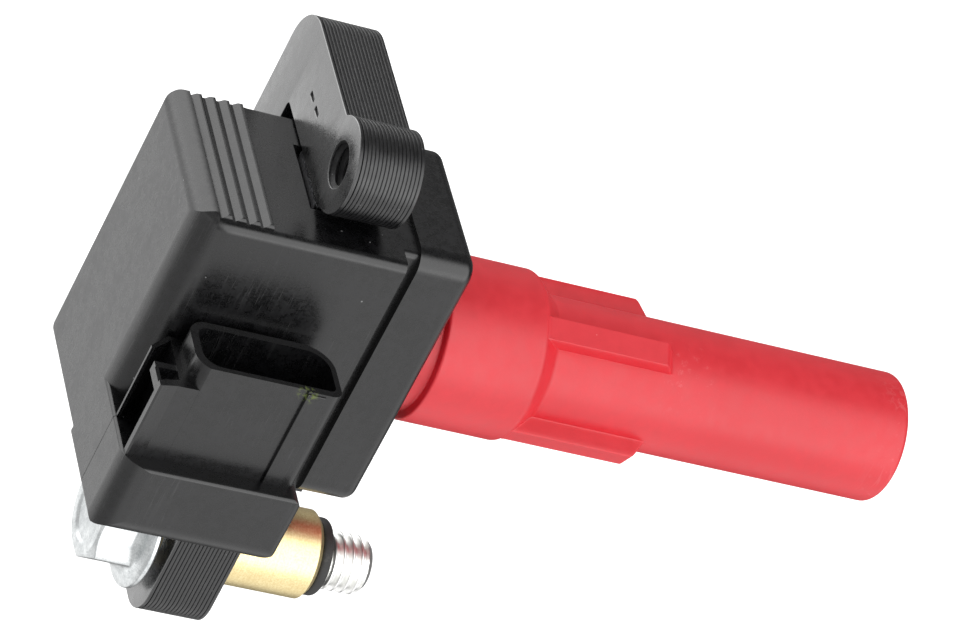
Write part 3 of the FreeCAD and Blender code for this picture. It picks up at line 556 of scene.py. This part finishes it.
# ------------------------------------------------------------------ boot
def boot():
    R, R2, sh0, sh1, rim, lip_r, lip_z = 8.6, 11.15, 51.5, 54.05, 67.7, 9.9, LIPZ
    fw, fr, fz0, fz1 = 1.6, 10.9, 34.9, 36.8
    fins = np.radians([-30.0, 60.0, 150.0, 240.0])
    th = set(np.round(np.arange(0, 360, 1.5), 3))
    for f in (-30.0, 60.0, 150.0, 240.0):
        for s in (-1, 1):
            for a in np.arange(6.0, 15.0, 0.22):
                th.add(round((f + s * a) % 360, 3))
    th = np.radians(np.array(sorted(th)))
    zs = [0.0, 0.03, 0.10, 0.2, 0.32, 0.46, 0.62, 0.8, 1.0, 1.3]
    zs += list(np.arange(2.2, 34.0, 1.3)) + list(np.arange(34.2, 38.2, 0.10)) + list(np.arange(38.6, 50.6, 0.8))
    zs += list(np.arange(50.8, 54.8, 0.09)) + list(np.arange(55.4, 66.8, 1.0)) + list(np.arange(67.0, 67.68, 0.08)) + [67.7]
    zs = sorted(set(np.round(zs, 3)))

    def body(z):
        if z < 1.0:
            q = (1.0 - z)
            return R - 1.0 + math.sqrt(max(0.0, 1.0 - q * q)) if q < 1.0 else R - 1.0
        r = smin(smax(R, R + (z - sh0), 0.5), R2, 0.45)
        if z > rim - 0.4:
            q = z - (rim - 0.4)
            r = R2 - 0.4 + math.sqrt(max(0.0, 0.16 - q * q))
        return float(r)

    rings = []
    for z in zs:
        rb = body(z)
        r = np.full(th.shape, rb)
        if 33.5 < z < sh1 - 0.1:
            top = R - 0.5 + (z - fz0) / (fz1 - fz0) * (fr - R + 0.5)
            top = float(smin(top, fr, 0.55))
            for f in fins:
                d = (th - f + math.pi) % (2 * math.pi) - math.pi
                near = np.abs(d) < math.radians(35)
                dd = np.where(near, d, 0.5)
                flat = top / np.cos(dd)
                side = (fw - 0.02 * 0) / np.maximum(np.abs(np.sin(dd)), 1e-3)
                fin = smin(flat, side, 0.75)
                fin = np.where(near, fin, 0.0)
                r = np.where(near, smax(fin, r, 0.38), r)
            r = np.maximum(r, rb)
        rings.append(polar(0, 0, th, r, z))
    # upper rim, seal lip, bores down to the open end
    rest = fillet_profile([(R2 - 0.4, rim), (lip_r, rim), (lip_r, lip_z), (7.9, lip_z), (7.3, lip_z - 0.6), (7.3, 54.2), (6.7, 53.0), (4.7, 53.0), (4.7, 24.05),
                           (4.0, 24.05), (4.0, 22.0), (5.2, 22.0), (5.2, 0.0)],
                          [0, 0.25, 0.35, 0.2, 0.2, 0.3, 0.2, 0.2, 0.2, 0.1, 0.2, 0.2, 0], 4)
    rest = [p for p in densify(rest, 2.0)][1:]
    for r, z in rest[:-1]:
        rings.append(polar(0, 0, th, r, z))
    # the mouth, turned in with a small round
    for r, z in ((5.2, 0.7), (5.22, 0.45), (5.32, 0.2), (5.5, 0.05), (5.7, 0.0), (6.3, 0.0), (7.0, 0.0)):
        rings.append(polar(0, 0, th, r, z))
    V = np.concatenate(rings)
    F = rings_faces(len(rings), len(th), loop=True)
    return make("boot_moulded", V, F, MATS["red_silicone"], "boot", ["plug_boot"])


boot()


# ------------------------------------------------------------------ core: a stack of 0.5 mm sheets
def arc(cx, cy, r, a0, a1, step=0.35):
    n = max(3, int(abs(math.radians(a1 - a0)) * r / step))
    return [(cx + r * math.cos(math.radians(a0 + (a1 - a0) * i / n)), cy + r * math.sin(math.radians(a0 + (a1 - a0) * i / n))) for i in range(n + 1)]


def round_path(pts, step=0.35, long=2.0):
    """Closed outline: (x, y, corner radius) points, or ready lists of points for arcs."""
    flat = []
    for p in pts:
        if isinstance(p, list):
            flat += [(x, y, 0.0) for x, y in p]
        else:
            flat.append(p if len(p) > 2 else (*p, 0.0))
    n = len(flat)
    out = []
    for i in range(n):
        x, y, R = flat[i]
        p = np.array([x, y])
        if R <= 0:
            out.append(p)
            continue
        a, c = np.array(flat[i - 1][:2]), np.array(flat[(i + 1) % n][:2])
        u, w = (a - p) / np.linalg.norm(a - p), (c - p) / np.linalg.norm(c - p)
        ang = math.acos(max(-1, min(1, float(u @ w))))
        t = R / math.tan(ang / 2)
        bis = (u + w) / np.linalg.norm(u + w)
        ctr = p + bis * R / math.sin(ang / 2)
        p0, p1 = p + u * t, p + w * t
        a0, a1 = math.atan2(*(p0 - ctr)[::-1]), math.atan2(*(p1 - ctr)[::-1])
        d = (a1 - a0 + math.pi) % (2 * math.pi) - math.pi
        m = max(4, int(abs(d) * R / step))
        out += [ctr + R * np.array([math.cos(a0 + d * s / m), math.sin(a0 + d * s / m)]) for s in range(m + 1)]
    res = []
    n = len(out)
    for i in range(n):
        a, b = out[i], out[(i + 1) % n]
        L = np.linalg.norm(b - a)
        if L < 1e-6:
            continue
        m = max(1, int(math.ceil(L / long)))
        res += [a + (b - a) * s / m for s in range(m)]
    return np.array(res)


def normals2d(p, holes=False):
    a, b = np.roll(p, 1, 0), np.roll(p, -1, 0)
    e0, e1 = p - a, b - p
    e0 /= np.linalg.norm(e0, axis=1)[:, None]
    e1 /= np.linalg.norm(e1, axis=1)[:, None]
    n0, n1 = np.stack([e0[:, 1], -e0[:, 0]], 1), np.stack([e1[:, 1], -e1[:, 0]], 1)
    n = n0 + n1
    n /= np.linalg.norm(n, axis=1)[:, None]
    k = 1 / np.maximum(0.5, (n * n0).sum(1))
    area = 0.5 * np.sum(p[:, 0] * b[:, 1] - b[:, 0] * p[:, 1])
    return n * k[:, None] * (1 if area > 0 else -1)


def core():
    nlx0, nlx1, xlx0, xlx1, ly0, ly1 = -32.0, -21.0, 19.6, 30.6, 15.2, 23.3
    ex0, ey0, ey1 = -43.3, -14.8, 4.0
    hx, hy, hr = 26.3, -5.8, 6.2
    a1 = math.degrees(math.asin((xlx1 - hx) / hr))        # where the limb's side meets the boss
    outer = round_path([
        (nlx0, ly1, 5.0), (xlx1, ly1, 6.5), arc(hx, hy, hr, 90 - a1, -180.0), (xlx0, hy), (xlx0, ly0, 0.6), (nlx1, ly0, 0.6),
        (nlx1, ey0, 1.0), (ex0, ey0, 5.2), (ex0, ey1, 5.5), (nlx0, ey1 + 2.4, 2.0)])
    boss = np.array(arc(hx, hy, 2.92, 0, 360, 0.25)[:-1])
    colh = np.array(arc(BX, BY, 5.6, 0, 360, 0.4)[:-1])
    n_sheet = 17
    t = (KZ1 - KZ0) / n_sheet
    V, F = [], []

    def add(pts):
        base = sum(len(v) for v in V)
        V.append(np.asarray(pts, float))
        return base

    def wall(loop, rows):
        """rows: (z, offset array) from the bottom to the top. Returns the base index of the first and last ring."""
        nn = normals2d(loop)
        first = None
        for z, off in rows:
            q = loop + nn * np.asarray(off)[..., None] if np.ndim(off) else loop + nn * off
            b = add(np.column_stack([q, np.full(len(q), z)]))
            if first is None:
                first = b
            else:
                F.extend(rings_faces(2, len(loop), prev))
            prev = b
        return first, prev

    m = len(outer)
    ang = np.arange(m) / m * 2 * math.pi
    rows = [(KZ0, -0.10), (KZ0 + 0.03, -0.05)]
    for k in range(n_sheet):
        z0, z1 = KZ0 + k * t, KZ0 + (k + 1) * t
        ph = RNG.uniform(0, 6.28, 3)
        am = RNG.uniform(0.004, 0.014)
        off = -0.012 - am * (1 + 0.6 * np.sin(ang * 2 + ph[0]) + 0.4 * np.sin(ang * 5 + ph[1]))
        deep = -0.13 if k != n_sheet - 2 else -0.20
        if k == 0:
            rows += [(z0 + 0.09, off)]
        else:
            rows += [(z0 + 0.028, -0.125 if k != n_sheet - 1 else -0.19), (z0 + 0.085, off - 0.012), (z0 + 0.13, off)]
        if k == n_sheet - 1:
            rows += [(z1 - 0.14, off), (z1 - 0.07, off - 0.012), (z1 - 0.02, off - 0.05), (z1, off - 0.11)]
        else:
            rows += [(z1 - 0.11, off), (z1 - 0.07, off - 0.012), (z1 - 0.022, deep)]
    o_bot, o_top = wall(outer, rows)
    # tapped hole: M6 x 1 thread, a small countersink at each end
    nb = len(boss)
    tb = np.arctan2(boss[:, 1] - hy, boss[:, 0] - hx)
    zs = np.arange(KZ0, KZ1 + 1e-6, 0.06)
    zs = np.append(zs, KZ1) if KZ1 - zs[-1] > 1e-4 else zs
    prev = None
    for z in zs:
        u = ((z - KZ0) - tb / (2 * math.pi)) % 1.0
        tri = np.abs(u - 0.5) * 2
        r = 2.52 + 0.46 * np.clip((tri - 0.1) / 0.75, 0, 1)
        cs = max(3.06 - (z - KZ0) * 1.0, 3.06 - (KZ1 - z) * 1.0)
        r = np.maximum(r, cs)
        b = add(np.column_stack([hx + r * np.cos(tb), hy + r * np.sin(tb), np.full(nb, z)]))
        if prev is None:
            h_bot = b
        else:
            F.extend(rings_faces(2, nb, prev))
        prev = b
    h_top = prev
    c_bot, c_top = wall(colh, [(KZ0, 0.0), (KZ0 + 4.0, 0.0), (KZ1, 0.0)])
    # interlock dimples in the top sheet
    dim = []
    for dx, dy in ((24.75, 9.5), (24.75, 6.5), (-26.4, 9.5), (-26.4, 12.5), (0.0, 19.4), (3.0, 19.4)):
        loop = round_path([(dx - 0.35, dy - 0.9, 0.15), (dx + 0.35, dy - 0.9, 0.15), (dx + 0.35, dy + 0.9, 0.15), (dx - 0.35, dy + 0.9, 0.15)], 0.08, 0.6)
        lo, hi = wall(loop, [(KZ1 - 0.24, -0.06), (KZ1 - 0.05, 0.0), (KZ1, 0.03)])
        F.append([lo + i for i in range(len(loop))])
        dim.append((hi, len(loop)))
    allv = np.concatenate(V)

    def cap(bases):
        loops = [[Vector((*allv[b + i][:2], 0)) for i in range(k)] for b, k in bases]
        idx = [b + i for b, k in bases for i in range(k)]
        for tri in tessellate_polygon(loops):
            F.append([idx[i] for i in tri])

    cap([(o_top, m), (h_top, nb), (c_top, len(colh))] + dim)
    cap([(o_bot, m), (h_bot, nb), (c_bot, len(colh))])
    return make("core_sheets", allv, F, MATS["painted_laminations"], "coil", ["core_yoke"], sharp=40)


core()

# ------------------------------------------------------------------ floor, light, camera
R, U, B = Vector((0.4081, -0.1893, -0.8931)), Vector((0.7411, 0.64, 0.203)), Vector((0.5332, -0.7447, 0.4015))


def direction(r, u, b):
    """A direction given along the camera's right, up and back."""
    return (R * r + U * u + B * b).normalized()


bm = bmesh.new()
bmesh.ops.create_grid(bm, x_segments=24, y_segments=24, size=16.0)
me = bpy.data.meshes.new("floor")
bm.to_mesh(me)
bm.free()
floor = bpy.data.objects.new("floor", me)
floor.location = (0, 0, -2.2)
scene.collection.objects.link(floor)
km = Mat("floor_pale")
fl = km.noise(0.8, 3.0, 0.5)
km.set(color=km.mix(fl, (0.90, 0.90, 0.90), (0.94, 0.94, 0.94)), rough=0.9)
km.b.inputs["Emission Color"].default_value = (1, 1, 1, 1)
km.b.inputs["Emission Strength"].default_value = 0.55
me.materials.append(km.m)
floor.visible_glossy = False
floor.visible_diffuse = False
floor.visible_shadow = False

# soft studio surround: broad bright and dark regions, white where the camera sees it
world = bpy.data.worlds.new("studio")
scene.world = world
world.use_nodes = True
wt = world.node_tree
wt.nodes.clear()
wout = wt.nodes.new("ShaderNodeOutputWorld")
wbg = wt.nodes.new("ShaderNodeBackground")
wco = wt.nodes.new("ShaderNodeTexCoord").outputs["Generated"]


def wmath(op, a, b=0.0):
    n = wt.nodes.new("ShaderNodeMath")
    n.operation = op
    for i, v in enumerate((a, b)):
        if isinstance(v, bpy.types.NodeSocket):
            wt.links.new(v, n.inputs[i])
        else:
            n.inputs[i].default_value = v
    return n.outputs[0]


def lobe(d, inner, outer, level):
    """A patch of sky round direction d: full level inside the first angle, none outside the second (degrees)."""
    n = wt.nodes.new("ShaderNodeVectorMath")
    n.operation = "DOT_PRODUCT"
    wt.links.new(wco, n.inputs[0])
    n.inputs[1].default_value = d
    r = wt.nodes.new("ShaderNodeMapRange")
    r.interpolation_type = "SMOOTHSTEP"
    wt.links.new(n.outputs["Value"], r.inputs["Value"])
    r.inputs["From Min"].default_value = math.cos(math.radians(outer))
    r.inputs["From Max"].default_value = math.cos(math.radians(inner))
    r.inputs["To Min"].default_value = 0.0
    r.inputs["To Max"].default_value = level
    return r.outputs[0]


LOBES = [
    (direction(0.74, -0.26, 0.62), 24, 52, 2.9),      # softbox to the right, in front
    (direction(0.22, -0.97, 0.02), 26, 60, 1.22),     # white table below
    (direction(-0.72, 0.16, -0.68), 20, 50, 1.18),    # white backdrop to the left, behind
    (direction(-0.28, 0.92, -0.22), 16, 44, 2.8),     # lamp above, behind
    (direction(0.45, 0.79, -0.43), 20, 55, 0.03),     # dim backdrop to the right, behind
    (direction(-0.35, 0.35, 0.87), 25, 70, 0.5),      # overhead, on the camera's side
    (direction(-0.85, -0.45, 0.25), 20, 60, 0.6),     # left
]
SOFT = [
    (direction(0.2, -0.8, 0.55), 20, 100, 0.42),      # what the table sends back
    (direction(0.7, 0.1, 0.7), 20, 90, 0.30),
]
total = 0.14
for l in LOBES:
    total = wmath("ADD", total, lobe(*l))
soft = 0.58
for l in SOFT:
    soft = wmath("ADD", soft, lobe(*l))
lp = wt.nodes.new("ShaderNodeLightPath")
# diffuse light comes from the even, wide surround, reflections from the lamps
total = wmath("ADD", wmath("MULTIPLY", total, wmath("SUBTRACT", 1.0, lp.outputs["Is Diffuse Ray"])), wmath("MULTIPLY", soft, lp.outputs["Is Diffuse Ray"]))
mixn = wt.nodes.new("ShaderNodeMix")
mixn.data_type = "FLOAT"
wt.links.new(lp.outputs["Is Camera Ray"], mixn.inputs[0])
wt.links.new(total, mixn.inputs[2])
mixn.inputs[3].default_value = 1.0
wbg.inputs[0].default_value = (1, 1, 1, 1)
wt.links.new(mixn.outputs[0], wbg.inputs[1])
wt.links.new(wbg.outputs[0], wout.inputs[0])

cam_data = bpy.data.cameras.new("camera")
cam_data.lens = 211.875
cam_data.sensor_width = 36.0
cam_data.sensor_fit = "HORIZONTAL"
cam_data.clip_start, cam_data.clip_end = 0.01, 100.0
cam = bpy.data.objects.new("camera", cam_data)
scene.collection.objects.link(cam)
cam.matrix_world = Matrix(((R[0], U[0], B[0], 0.3839), (R[1], U[1], B[1], -0.5303), (R[2], U[2], B[2], 0.3460), (0, 0, 0, 1)))
scene.camera = cam
scene.view_settings.view_transform = "Standard"
